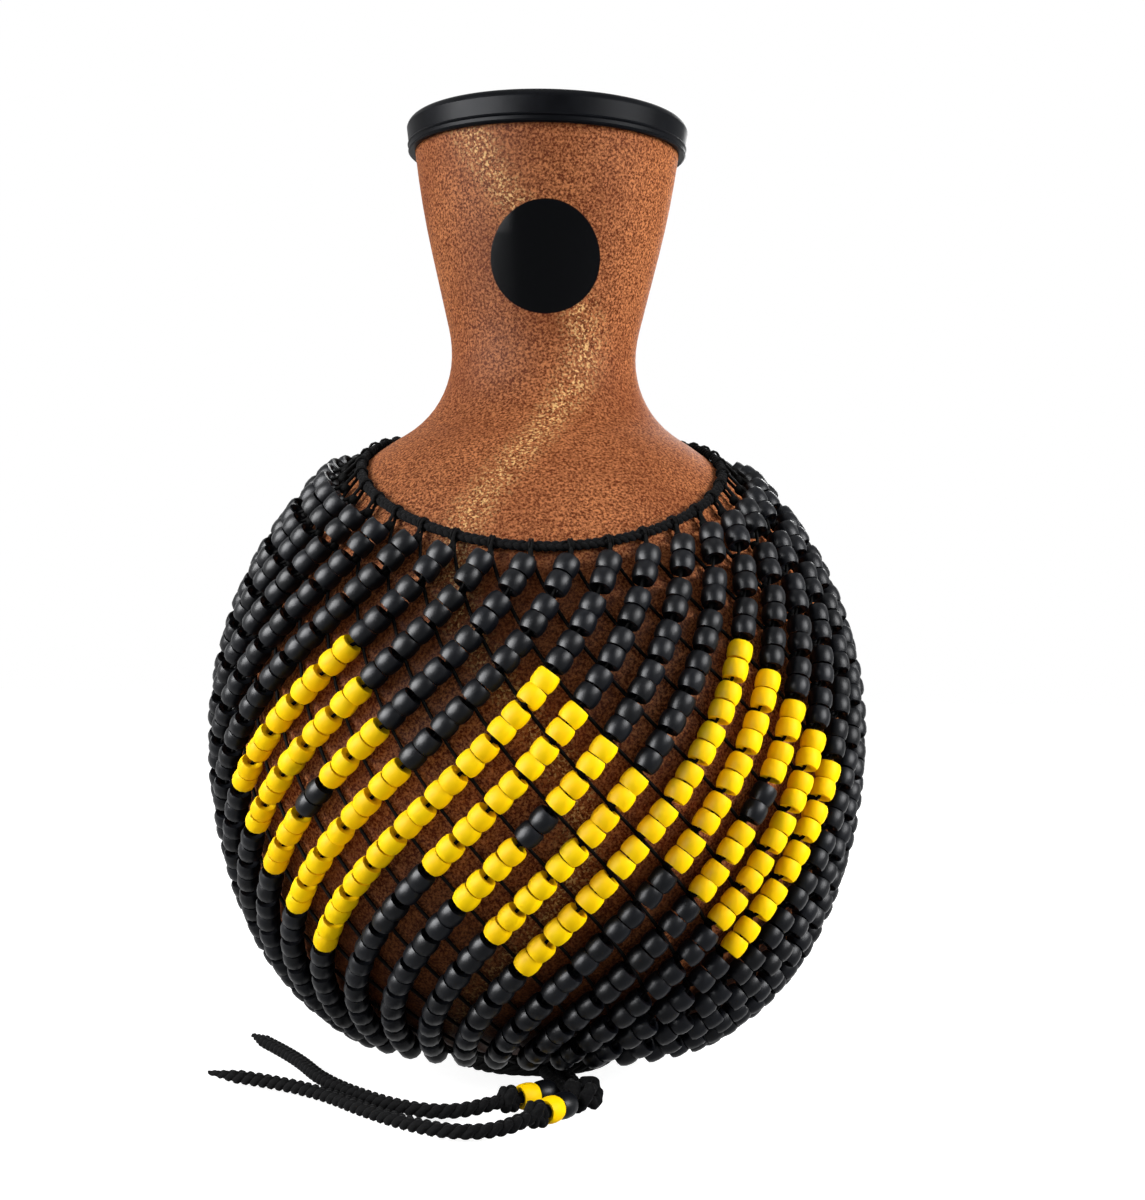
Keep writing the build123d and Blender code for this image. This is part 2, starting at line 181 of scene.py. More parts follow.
@dataclass(frozen=True)
class SandedFibreglass(Finish):
    """Moulded fibreglass in a sprayed fleck coat, with grains about a millimetre wide and a plain disc."""

    dark: str = "#4f200c"
    light: str = "#bd794b"
    # Colour of the painted glint down the front.
    glint_tint: str = "#e4bb7c"
    shade: str = "#5c270f"
    # Colour of the painted shade on the lower shell, darker towards the bottom.
    painted_low_shade: str = "#180b06"
    ink: str = "#08090b"
    grain_mm: float = 0.85
    grain_range: tuple[float, float] = (0.4, 0.66)
    relief: float = 0.45
    relief_mm: float = 0.3
    cloud_mm: float = 42.0
    cloud_range: tuple[float, float] = (0.42, 0.72)
    cloud_share: float = 0.45
    fleck_mm: float = 1.0
    fleck_range: tuple[float, float] = (0.53, 0.64)
    fleck_share: float = 0.9
    # Course of the painted glint, an S down the front.
    drift_mm: float = 21.0
    drift_offset_mm: float = -7.0
    drift_height_mm: float = 260.0
    drift_period_mm: float = 165.0
    drift_width_mm: float = 10.0
    # Painted shade: the shell darkens from the upper of these heights down to the lower one.
    low_shade_top_mm: float = 105.0
    low_shade_end_mm: float = 18.0
    low_shade_share: float = 0.95
    front_edge_mm: float = 1.0
    disc_height_mm: float = 288.5
    disc_radius_mm: float = 19.4
    disc_edge_mm: float = 0.25
    disc_roughness: float = 0.14
    disc_relief: float = 0.05

    def dress(self, tree: bpy.types.NodeTree, shader: Any) -> None:
        """Lay the grains, clouds, a painted glint of light specks in an S down the front, painted shade low
        on the shell under the net and the disc over each other.

        Args:
            tree: the material's nodes.
            shader: its Principled shader.
        """
        place = add(tree, "ShaderNodeTexCoord").outputs["Object"]
        axes = add(tree, "ShaderNodeSeparateXYZ", {0: place})
        fine = {"Vector": place, "Scale": per_mm(self.grain_mm), "Detail": 2.5, "Roughness": 0.65}
        grain = add(tree, "ShaderNodeTexNoise", fine).outputs["Fac"]
        low, high = self.grain_range
        share = add(tree, "ShaderNodeMapRange", {0: grain, 1: low, 2: high}).outputs[0]
        wide = {"Vector": place, "Scale": per_mm(self.cloud_mm), "Detail": 3.0}
        blotch = add(tree, "ShaderNodeTexNoise", wide).outputs["Fac"]
        low, high = self.cloud_range
        cloud = add(tree, "ShaderNodeMapRange", {0: blotch, 1: low, 2: high, 4: self.cloud_share}).outputs[0]
        # Painted shade, darker towards the bottom of the shell.
        low_shade_span = {0: axes.outputs["Z"], 1: self.low_shade_top_mm * MM, 2: self.low_shade_end_mm * MM}
        low_shade_mask = add(tree, "ShaderNodeMapRange", low_shade_span | {4: self.low_shade_share}).outputs[0]
        edge = self.front_edge_mm * MM
        front = add(tree, "ShaderNodeMapRange", {0: axes.outputs["Y"], 1: edge, 2: -edge}).outputs[0]
        disc = self.disc(tree, axes, front)
        layers = (
            (share, self.light),
            (cloud, self.shade),
            # painted glint down the front
            (self.painted_glint(tree, place, axes, front), self.glint_tint),
            (low_shade_mask, self.painted_low_shade),
            (disc, self.ink),
        )
        coat: Any = linear(self.dark)
        for amount, colour in layers:
            layer = add(tree, "ShaderNodeMix", {0: amount, 6: coat, 7: linear(colour)}, data_type="RGBA")
            coat = layer.outputs[2]
        gloss = {0: disc, 3: self.roughness, 4: self.disc_roughness}
        rough = add(tree, "ShaderNodeMapRange", gloss).outputs[0]
        depth = add(tree, "ShaderNodeMapRange", {0: disc, 3: self.relief, 4: self.disc_relief}).outputs[0]
        pits = {"Height": grain, "Strength": depth, "Distance": self.relief_mm * MM}
        bump = add(tree, "ShaderNodeBump", pits).outputs[0]
        self.link(tree, shader, Base_Color=coat, Roughness=rough, Normal=bump)

    def painted_glint(self, tree: bpy.types.NodeTree, place: Any, axes: Any, front: Any) -> Any:
        """Painted glint: light specks that drift in an S down the front.

        Args:
            tree: the material's nodes.
            place: Object coordinates.
            axes: the same, split.
            front: 1 on the front half.

        Returns:
            Share of the glint's colour.
        """
        height = {0: axes.outputs["Z"], 1: self.drift_height_mm * MM}
        phase = add(tree, "ShaderNodeMath", height, operation="SUBTRACT").outputs[0]
        turn = 2 * pi / (self.drift_period_mm * MM)
        angle = add(tree, "ShaderNodeMath", {0: phase, 1: turn}, operation="MULTIPLY").outputs[0]
        wave = add(tree, "ShaderNodeMath", {0: angle}, operation="COSINE").outputs[0]
        swing = {0: wave, 1: self.drift_mm * MM, 2: self.drift_offset_mm * MM}
        middle = add(tree, "ShaderNodeMath", swing, operation="MULTIPLY_ADD").outputs[0]
        across = {0: axes.outputs["X"], 1: middle}
        offset = add(tree, "ShaderNodeMath", across, operation="SUBTRACT").outputs[0]
        away = add(tree, "ShaderNodeMath", {0: offset}, operation="ABSOLUTE").outputs[0]
        fade = {0: away, 2: self.drift_width_mm * MM, 3: 1.0, 4: 0.0}
        glint_band = add(tree, "ShaderNodeMapRange", fade).outputs[0]
        fine = {"Vector": place, "Scale": per_mm(self.fleck_mm), "Detail": 2.0}
        grain = add(tree, "ShaderNodeTexNoise", fine).outputs["Fac"]
        low, high = self.fleck_range
        speck = add(tree, "ShaderNodeMapRange", {0: grain, 1: low, 2: high, 4: self.fleck_share}).outputs[0]
        shown = add(tree, "ShaderNodeMath", {0: glint_band, 1: speck}, operation="MULTIPLY").outputs[0]
        # The painted glint shows on the front half only.
        return add(tree, "ShaderNodeMath", {0: shown, 1: front}, operation="MULTIPLY").outputs[0]

    def disc(self, tree: bpy.types.NodeTree, axes: Any, front: Any) -> Any:
        """Mask of the plain printed disc on the front of the neck.

        Args:
            tree: the material's nodes.
            axes: Object coordinates, split.
            front: 1 on the front half.

        Returns:
            Share of the ink.
        """
        flat = add(tree, "ShaderNodeCombineXYZ", {0: axes.outputs["X"], 2: axes.outputs["Z"]}).outputs[0]
        apart = {0: flat, 1: (0.0, 0.0, self.disc_height_mm * MM)}
        away = add(tree, "ShaderNodeVectorMath", apart, operation="DISTANCE").outputs["Value"]
        edge = self.disc_radius_mm * MM
        inside = {0: away, 1: edge, 2: edge - self.disc_edge_mm * MM}
        mask = add(tree, "ShaderNodeMapRange", inside).outputs[0]
        return add(tree, "ShaderNodeMath", {0: mask, 1: front}, operation="MULTIPLY").outputs[0]


@dataclass(frozen=True)
class MouldedRubber(Finish):
    """Extruded rubber edging: satin black with a faint bloom and fine pores."""

    bloom: str
    bloom_mm: float = 9.0
    bloom_range: tuple[float, float] = (0.4, 0.75)
    bloom_share: float = 0.6
    bloom_roughness: float = 0.16
    # Real pores are finer, and these are as coarse as they need to be to show.
    pore_mm: float = 0.6
    relief: float = 0.12
    relief_mm: float = 0.1

    def dress(self, tree: bpy.types.NodeTree, shader: Any) -> None:
        """Cloud the black with bloom, and pit it.

        Args:
            tree: the material's nodes.
            shader: its Principled shader.
        """
        place = add(tree, "ShaderNodeTexCoord").outputs["Object"]
        wide = {"Vector": place, "Scale": per_mm(self.bloom_mm), "Detail": 4.0}
        cloud = add(tree, "ShaderNodeTexNoise", wide).outputs["Fac"]
        low, high = self.bloom_range
        share = add(tree, "ShaderNodeMapRange", {0: cloud, 1: low, 2: high, 4: self.bloom_share}).outputs[0]
        blacks = {0: share, 6: linear(self.colour), 7: linear(self.bloom)}
        colour = add(tree, "ShaderNodeMix", blacks, data_type="RGBA").outputs[2]
        gloss = {0: cloud, 3: self.roughness, 4: self.roughness + self.bloom_roughness}
        rough = add(tree, "ShaderNodeMapRange", gloss).outputs[0]
        fine = {"Vector": place, "Scale": per_mm(self.pore_mm), "Detail": 2.0}
        pore = add(tree, "ShaderNodeTexNoise", fine).outputs["Fac"]
        pits = {"Height": pore, "Strength": self.relief, "Distance": self.relief_mm * MM}
        bump = add(tree, "ShaderNodeBump", pits).outputs[0]
        self.link(tree, shader, Base_Color=colour, Roughness=rough, Normal=bump)


@dataclass(frozen=True)
class SpunFibre(Finish):
    """Plaited or twisted nylon: matt black yarn with a soft sheen and fine loose fibres."""

    worn: str
    sheen: float
    sheen_roughness: float = 0.5
    # Single fibres are too fine to show, so bundles of them are drawn.
    yarn_mm: float = 0.7
    worn_range: tuple[float, float] = (0.45, 0.8)
    relief: float = 0.5
    relief_mm: float = 0.3

    def dress(self, tree: bpy.types.NodeTree, shader: Any) -> None:
        """Show the fibres as fine streaks in colour and relief.

        Args:
            tree: the material's nodes.
            shader: its Principled shader.
        """
        shader.inputs["Sheen Weight"].default_value = self.sheen
        shader.inputs["Sheen Roughness"].default_value = self.sheen_roughness
        place = add(tree, "ShaderNodeTexCoord").outputs["Object"]
        fine = {"Vector": place, "Scale": per_mm(self.yarn_mm), "Detail": 3.0}
        fibre = add(tree, "ShaderNodeTexNoise", fine).outputs["Fac"]
        low, high = self.worn_range
        share = add(tree, "ShaderNodeMapRange", {0: fibre, 1: low, 2: high}).outputs[0]
        blacks = {0: share, 6: linear(self.colour), 7: linear(self.worn)}
        colour = add(tree, "ShaderNodeMix", blacks, data_type="RGBA").outputs[2]
        ridges = {"Height": fibre, "Strength": self.relief, "Distance": self.relief_mm * MM}
        bump = add(tree, "ShaderNodeBump", ridges).outputs[0]
        self.link(tree, shader, Base_Color=colour, Normal=bump)


@dataclass(frozen=True)
class MouldedBead(Finish):
    """Injection-moulded styrene bead: satin, with flow marks, each bead a little lighter or darker."""

    other: str
    flow_mm: float = 2.2
    flow_gloss: tuple[float, float] = (-0.06, 0.1)
    relief: float = 0.3
    relief_mm: float = 0.25

    def dress(self, tree: bpy.types.NodeTree, shader: Any) -> None:
        """Tint each bead by its own attribute, and mark the flow in gloss and relief.

        Args:
            tree: the material's nodes.
            shader: its Principled shader.
        """
        own = add(tree, "ShaderNodeAttribute", attribute_name=TINT).outputs["Fac"]
        place = add(tree, "ShaderNodeTexCoord").outputs["Object"]
        fine = {"Vector": place, "Scale": per_mm(self.flow_mm), "Detail": 3.0}
        flow = add(tree, "ShaderNodeTexNoise", fine).outputs["Fac"]
        shades = {0: own, 6: linear(self.colour), 7: linear(self.other)}
        colour = add(tree, "ShaderNodeMix", shades, data_type="RGBA").outputs[2]
        low, high = (self.roughness + change for change in self.flow_gloss)
        rough = add(tree, "ShaderNodeMapRange", {0: flow, 3: low, 4: high}).outputs[0]
        marks = {"Height": flow, "Strength": self.relief, "Distance": self.relief_mm * MM}
        bump = add(tree, "ShaderNodeBump", marks).outputs[0]
        self.link(tree, shader, Base_Color=colour, Roughness=rough, Normal=bump)


FIBREGLASS = SandedFibreglass("sprayed_fibreglass", "#8a5232", roughness=0.6, ior=1.5, specular=0.02)
RUBBER = MouldedRubber("extruded_rubber", "#06070a", roughness=0.32, ior=1.5, specular=0.02, bloom="#0c0e12")
CORD = SpunFibre(
    "braided_nylon_cord", "#050506", roughness=0.85, ior=1.3, specular=0.05, worn="#0e0e10", sheen=0.02
)
TWINE = SpunFibre(
    "waxed_nylon_twine", "#050505", roughness=0.7, ior=1.3, specular=0.04, worn="#0d0c0d", sheen=0.01
)
BEADS = {
    Colour.BLACK: MouldedBead(
        "black_moulded_styrene", "#040508", roughness=0.36, ior=1.5, specular=0.07, other="#090b10"
    ),
    Colour.YELLOW: MouldedBead(
        "yellow_moulded_styrene", "#fdcb00", roughness=0.5, ior=1.5, specular=0.03, other="#ffd600"
    ),
}


def piece(
    name: str, mesh: bpy.types.Mesh, finish: Finish, body: Body, nodes: list[str] | None = None
) -> bpy.types.Object:
    """Put a finished mesh in the scene, riding on its body.

    Args:
        name: name of the piece.
        mesh: its mesh, in metres at its place.
        finish: what it is made of.
        body: what it moves with.
        nodes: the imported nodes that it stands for.

    Returns:
        The piece's object.
    """
    mesh.name = name
    mesh.materials.clear()
    mesh.materials.append(finish.material())
    mesh.polygons.foreach_set("use_smooth", [True] * len(mesh.polygons))
    made = bpy.data.objects.new(name, mesh)
    bpy.context.scene.collection.objects.link(made)
    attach(made, body.value)
    if nodes:
        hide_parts(*nodes)
    log.info("%s: %d faces", name, len(mesh.polygons))
    return made


def spun(outline: list[tuple[float, float]], steps: int) -> bpy.types.Mesh:
    """Turn a closed outline about Z.

    Args:
        outline: radius and height of each corner, in millimetres.
        steps: faces round the turn.

    Returns:
        The turned mesh, in metres.
    """
    work = bmesh.new()
    corners = [work.verts.new((radius * MM, 0, height * MM)) for radius, height in outline]
    edges = [work.edges.new((corners[number - 1], corners[number])) for number in range(len(corners))]
    bmesh.ops.spin(
        work,
        geom=corners + edges,
        cent=(0, 0, 0),
        axis=UP,
        angle=2 * pi,
        steps=steps,
        use_merge=True,
    )
    bmesh.ops.recalc_face_normals(work, faces=work.faces)
    return saved(work)


def saved(work: bmesh.types.BMesh) -> bpy.types.Mesh:
    """Turn a working bmesh to a mesh, and free it.

    Args:
        work: the bmesh.

    Returns:
        The mesh, in no object yet.
    """
    mesh = bpy.data.meshes.new("work")
    work.to_mesh(mesh)
    work.free()
    return mesh


def stamped(shape: bpy.types.Mesh, places: list[Matrix]) -> bpy.types.Mesh:
    """Copy one small shape to many places in one mesh.

    Args:
        shape: mesh at the origin.
        places: where each copy goes.

    Returns:
        The joined mesh.
    """
    work = bmesh.new()
    for place in places:
        start = len(work.verts)
        work.from_mesh(shape)
        work.verts.ensure_lookup_table()
        bmesh.ops.transform(work, matrix=place, verts=work.verts[start:])
    return saved(work)


def frame_at(place: Vector, along: Vector, out: Vector) -> Matrix:
    """Matrix whose Z runs along a direction and whose X points outwards.

    Args:
        place: origin, in metres.
        along: direction of Z.
        out: rough direction of X.

    Returns:
        The matrix.
    """
    third = along.normalized()
    second = third.cross(out).normalized()
    first = second.cross(third)
    matrix = Matrix((first, second, third)).transposed().to_4x4()
    matrix.translation = place
    return matrix


def spline(routes: list[list[Vector]], resolution: int, cyclic: bool = False) -> bpy.types.Object:
    """Curve of smooth splines with the routes' points as control points.

    Args:
        routes: control points of each spline, in metres.
        resolution: steps between two points.
        cyclic: whether each closes on itself.

    Returns:
        A curve object that isn't in the scene yet.
    """
    curve = bpy.data.curves.new("route", "CURVE")
    curve.dimensions = "3D"
    for route in routes:
        line = curve.splines.new("NURBS")
        line.points.add(len(route) - 1)
        for point, place in zip(line.points, route):
            point.co = (*place, 1.0)
        line.order_u = 3
        line.use_endpoint_u = not cyclic
        line.use_cyclic_u = cyclic
        line.resolution_u = resolution
    made = bpy.data.objects.new("route", curve)
    bpy.context.scene.collection.objects.link(made)
    return made


def centre_line(routes: list[list[Vector]], resolution: int) -> list[Vector]:
    """Read the points of a smooth line off its spline.

    Args:
        routes: control points, in metres.
        resolution: steps between two points.

    Returns:
        Points of the line, in metres.
    """
    curve = spline(routes, resolution)
    mesh = bpy.data.meshes.new_from_object(curve)
    points = [vertex.co.copy() for vertex in mesh.vertices]
    bpy.data.objects.remove(curve)
    return points


def tubes(
    routes: list[list[Vector]],
    radius: float,
    ring_rise: int,
    resolution: int,
    cyclic: bool = False,
    shape: Callable[[np.ndarray, np.ndarray], np.ndarray] | None = None,
) -> bpy.types.Mesh:
    """Round tubes along smooth splines, with closed ends.

    Args:
        routes: control points of each tube, in metres.
        radius: radius in metres.
        ring_rise: bevel resolution, for 4 and twice this many sides.
        resolution: steps between two points.
        cyclic: whether each tube closes on itself.
        shape: radius factor from the run along a tube in millimetres and the angle round it.

    Returns:
        One mesh of all the tubes.
    """
    work = bmesh.new()
    sides = 4 + 2 * ring_rise
    for route in routes:
        curve = spline([route], resolution, cyclic)
        curve.data.bevel_depth = radius
        curve.data.bevel_resolution = ring_rise
        mesh = bpy.data.meshes.new_from_object(curve)
        bpy.data.objects.remove(curve)
        if shape:
            worked = np.empty(len(mesh.vertices) * 3, np.float32)
            mesh.vertices.foreach_get("co", worked)
            rings = worked.reshape(-1, sides, 3)
            middle = rings.mean(axis=1, keepdims=True)
            steps = np.linalg.norm(np.diff(middle[:, 0], axis=0), axis=1)
            run = np.concatenate([[0.0], np.cumsum(steps)]) / MM
            angle = 2 * pi * np.arange(sides) / sides
            factor = shape(run[:, None], angle[None, :])
            rings = middle + (rings - middle) * factor[:, :, None]
            mesh.vertices.foreach_set("co", rings.astype(np.float32).ravel())
        work.from_mesh(mesh)
        bpy.data.meshes.remove(mesh)
    bmesh.ops.holes_fill(work, edges=[edge for edge in work.edges if edge.is_boundary], sides=0)
    bmesh.ops.recalc_face_normals(work, faces=work.faces)
    return saved(work)


@dataclass(frozen=True)
class Braid:
    """Lobes of a plaited cord, in millimetres."""

    pitch: float
    lobes: int
    depth: float

    def factor(self, run: np.ndarray, angle: np.ndarray) -> np.ndarray:
        """Radius factor of a staggered pattern of lobes.

        Args:
            run: distance along the cord in millimetres.
            angle: angle round it.

        Returns:
            Factor for each ring and side.
        """
        lean = 2 * pi * run / self.pitch
        return 1 - self.depth + self.depth * np.cos(self.lobes * angle) * np.cos(lean)


@dataclass(frozen=True)
class Plait:
    """Three strands plaited into a cord, with a sealed tip where it has one, in millimetres."""

    strand: float
    sway: float
    dive: float
    period: float
    tip_length: float = 0.0
    tip_share: float = 1.0
    strands: int = 3

    def width(self, left: np.ndarray) -> np.ndarray:
        """Share of the full width.

        Args:
            left: distances from the far end.

        Returns:
            The share at each of them.
        """
        if not self.tip_length:
            return np.ones_like(left)
        return self.tip_share + (1 - self.tip_share) * np.clip(left / self.tip_length, 0.0, 1.0)

    def mesh(self, path: list[Vector], outs: list[Vector]) -> bpy.types.Mesh:
        """Plait the strands along a cord's middle line.

        Args:
            path: points of the middle line, in metres.
            outs: direction in which the plait is thinnest, at each point.

        Returns:
            One mesh of all the strands.
        """
        steps = [(second - first).length / MM for first, second in zip(path, path[1:])]
        runs = np.concatenate([[0.0], np.cumsum(steps)])
        widths = self.width(runs[-1] - runs)
        last = len(path) - 1
        routes = []
        for number in range(self.strands):
            route = []
            for index, place in enumerate(path):
                turn = 2 * pi * (runs[index] / self.period + number / self.strands)
                along = path[min(index + 1, last)] - path[max(index - 1, 0)]
                across = along.cross(outs[index]).normalized()
                out = across.cross(along).normalized()
                swing = across * (self.sway * sin(turn)) + out * (self.dive * sin(2 * turn))
                route.append(place + swing * (float(widths[index]) * MM))
            routes.append(route)

        def taper(run: np.ndarray, angle: np.ndarray) -> np.ndarray:
            """Narrow each strand towards the tip."""
            return self.width(run[-1] - run) * np.ones_like(angle)

        return tubes(routes, self.strand / 2 * MM, ring_rise=2, resolution=2, shape=taper)


@dataclass(frozen=True)
class GourdForm:
    """Outside of the gourd and the lie of the net on it, in millimetres, as the part's source has them."""

    body_radius: float = 110.4
    body_mid_height: float = 121.0
    shoulder_arc: float = 126.0
    waist_radius: float = 33.9
    waist_height: float = 258.0
    foot_radius: float = 23.0
    foot_arc: float = 81.3
    hem_radius: float = 27.0
    hem_thick: float = 8.9
    hem_flat: float = 0.5
    seat_gap: float = 0.3
    collar_cord: float = 3.2
    collar_back: float = 127.0
    collar_droop: float = 60.5
    droop_power: int = 3
    columns: int = 40
    rows: int = 16
    net_start: float = 5.0
    net_bare_end: float = 41.5
    top_ease: float = 0.0375
    top_power: int = 13
    end_ease: float = 0.0475
    end_power: int = 8
    rise: float = 0.9
    rise_power: float = 1.6
    pinch: float = 0.15
    spread: float = 1.0
    base_height: float = field(init=False)
    side_arc: float = field(init=False)
    side_angle: float = field(init=False)
    waist_arc: float = field(init=False)
    shoulder_angle: float = field(init=False)
    foot_distance: float = field(init=False)

    def __post_init__(self) -> None:
        """Work out the arcs that meet smoothly."""
        base = self.hem_thick + self.seat_gap - self.hem_flat
        drop = self.body_mid_height - base
        reach = self.body_radius - self.foot_radius
        side = (reach**2 + drop**2 - 2 * drop * self.foot_arc) / (2 * (reach - self.foot_arc))
        angle = atan2(drop - self.foot_arc, self.foot_radius - self.body_radius + side)
        step = self.body_radius - self.waist_radius
        climb = self.waist_height - self.body_mid_height
        both = (step**2 + climb**2) / (2 * step)
        values = {
            "base_height": base,
            "side_arc": side,
            "side_angle": angle,
            "waist_arc": both - self.shoulder_arc,
            "shoulder_angle": atan2(climb, both - step),
            "foot_distance": -(side * angle + self.foot_arc * (pi / 2 - angle)),
        }
        for name, value in values.items():
            object.__setattr__(self, name, value)

    def outline(self, distance: float, lift: float) -> tuple[float, float]:
        """Radius and height at a distance up along the wall from the body's middle.

        Args:
            distance: along the wall, negative below the middle.
            lift: off the wall.

        Returns:
            Radius and height.
        """
        shoulder = self.shoulder_arc * self.shoulder_angle
        if distance >= shoulder:
            turn = self.shoulder_angle - (distance - shoulder) / self.waist_arc
            reach = self.waist_arc - lift
            radius = self.waist_radius + self.waist_arc - reach * cos(turn)
            return radius, self.waist_height - reach * sin(turn)
        if distance >= 0:
            turn = distance / self.shoulder_arc
            reach = self.shoulder_arc + lift
            radius = self.body_radius - self.shoulder_arc + reach * cos(turn)
            return radius, self.body_mid_height + reach * sin(turn)
        turn = -distance / self.side_arc
        if turn <= self.side_angle:
            reach = self.side_arc + lift
            radius = self.body_radius - self.side_arc + reach * cos(turn)
            return radius, self.body_mid_height - reach * sin(turn)
        turn = self.side_angle + (-distance - self.side_arc * self.side_angle) / self.foot_arc
        reach = self.foot_arc + lift
        return self.foot_radius + reach * cos(turn), self.base_height + self.foot_arc - reach * sin(turn)

    def on_wall(self, angle: float, distance: float, lift: float) -> Vector:
        """Point over the wall, in metres, with the angle to the right of the front."""
        radius, height = self.outline(distance, lift)
        return Vector((radius * sin(angle), -radius * cos(angle), height)) * MM

    def collar_distance(self, angle: float) -> float:
        """How far up the wall the collar lies."""
        return self.collar_back - self.collar_droop * ((1 + cos(angle)) / 2) ** self.droop_power

    def collar_point(self, angle: float, drop: float = 0.0) -> Vector:
        """Point on the collar's middle line, or a drop down the wall from it."""
        return self.on_wall(angle, self.collar_distance(angle) - drop, self.collar_cord / 2 + self.seat_gap)

    def wall_out(self, angle: float) -> Vector:
        """Direction straight out of the wall at the collar."""
        distance = self.collar_distance(angle)
        return self.on_wall(angle, distance, 1.0) - self.on_wall(angle, distance, 0.0)

    def knot(self, column: float, row: int, lift: float) -> Vector:
        """Place of a knot of the net.

        Args:
            column: place round the gourd.
            row: place down the net.
            lift: off the wall.

        Returns:
            The point, in metres.
        """
        part = row / self.rows
        share = (1 - self.top_ease - self.end_ease) * part
        share += self.top_ease * (1 - (1 - part) ** self.top_power) + self.end_ease * part**self.end_power
        turn = 2 * pi * column / self.columns
        spread = self.spread * share**2 * (1 - share) - self.pinch * (1 - share) ** 2
        angle = turn + spread * sin(turn)
        droop = 1 - ((1 + cos(angle)) / 2) ** self.droop_power
        climb = self.rise * self.collar_droop * droop * (1 - share) ** self.rise_power
        top = self.collar_back - self.collar_droop - self.net_start
        length = top - self.foot_distance - self.net_bare_end
        return self.on_wall(angle, top - length * share + climb, lift)

    def hem_point(self, angle: float, climb: float, gap: float) -> Vector:
        """Point beside the hem roll.

        Args:
            angle: to the right of the front.
            climb: degrees up the roll's outer side.
            gap: off the roll.

        Returns:
            The point, in metres.
        """
        reach = self.hem_thick / 2 + gap
        radius = self.hem_radius + reach * cos(radians(climb))
        height = self.hem_thick / 2 - self.hem_flat + reach * sin(radians(climb))
        return Vector((radius * sin(angle), -radius * cos(angle), height)) * MM


@dataclass
class Gourd:
    """Shell and mouth edging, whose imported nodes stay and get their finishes."""

    finishes: dict[str, Finish]

    def build(self) -> None:
        """Dress each node."""
        for node, finish in self.finishes.items():
            made = frame["nodes"][node]
            made.data.materials.clear()
            made.data.materials.append(finish.material())
            log.info("%s: dressed", node)


@dataclass
class BeadShape:
    """Barrel bead with rounded ends and a bore, in millimetres."""

    outer: float
    bore: float
    length: float
    steps: int = 12
    shoulder_width: float = 0.962
    shoulder_height: float = 0.62
    crown_width: float = 0.84
    bore_height: float = 0.92

    def mesh(self) -> bpy.types.Mesh:
        """Turn the barrel's outline, with a crisp edge round each end.

        Returns:
            The bead's mesh, in metres at the origin.
        """
        wide = self.outer / 2
        half = self.length / 2
        upper = [
            (wide * self.shoulder_width, half * self.shoulder_height),
            (wide * self.crown_width, half),
            (self.bore / 2, half * self.bore_height),
        ]
        lower = [(radius, -height) for radius, height in reversed(upper)]
        work = bmesh.new()
        work.from_mesh(spun([(wide, 0.0)] + upper + lower, self.steps))
        rim = half * MM * (1 + self.bore_height) / 2
        for edge in work.edges:
            edge.smooth = min(abs(corner.co.z) for corner in edge.verts) < rim
        return saved(work)


def tint(made: bpy.types.Object, shape: bpy.types.Mesh, dice: Random) -> None:
    """Give each bead of a piece its own shade, in an attribute.

    Args:
        made: piece of many beads.
        shape: the one bead that it repeats.
        dice: seeded random numbers.
    """
    each = len(shape.vertices)
    shades = []
    for _ in range(len(made.data.vertices) // each):
        shades += [dice.random()] * each
    made.data.attributes.new(TINT, "FLOAT", "POINT").data.foreach_set("value", shades)


